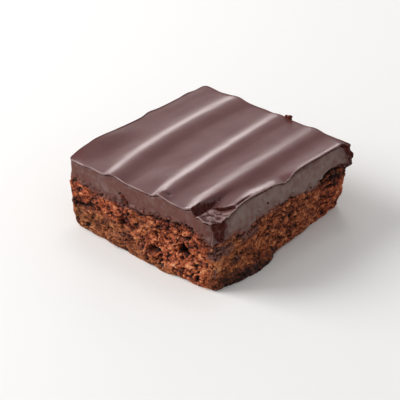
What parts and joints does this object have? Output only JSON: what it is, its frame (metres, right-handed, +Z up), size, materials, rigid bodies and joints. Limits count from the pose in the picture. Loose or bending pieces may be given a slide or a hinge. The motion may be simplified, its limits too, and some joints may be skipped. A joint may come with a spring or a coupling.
{
  "type": "brownie",
  "caption": "Square piece of iced chocolate brownie: a crumbly cake slab under a thick coat of icing with soft ridges along its top.",
  "frame": {"origin": "on the resting face at z = 0, under the middle of the whole outline", "axes": "+Z up; the icing's ridges run along Y; -Y and +X are the two cut faces on show, and the torn corner of the icing is between them"},
  "size_m": [0.0815, 0.0851, 0.0317],
  "materials": {
    "cake": "rough open crumb of baked chocolate cake, dull with a few moist glints",
    "icing": "set chocolate icing, satin sheen on top and duller on its cut sides"
  },
  "bodies": {
    "root": {"cake": "cake", "icing": "icing"}
  },
  "joints": []
}
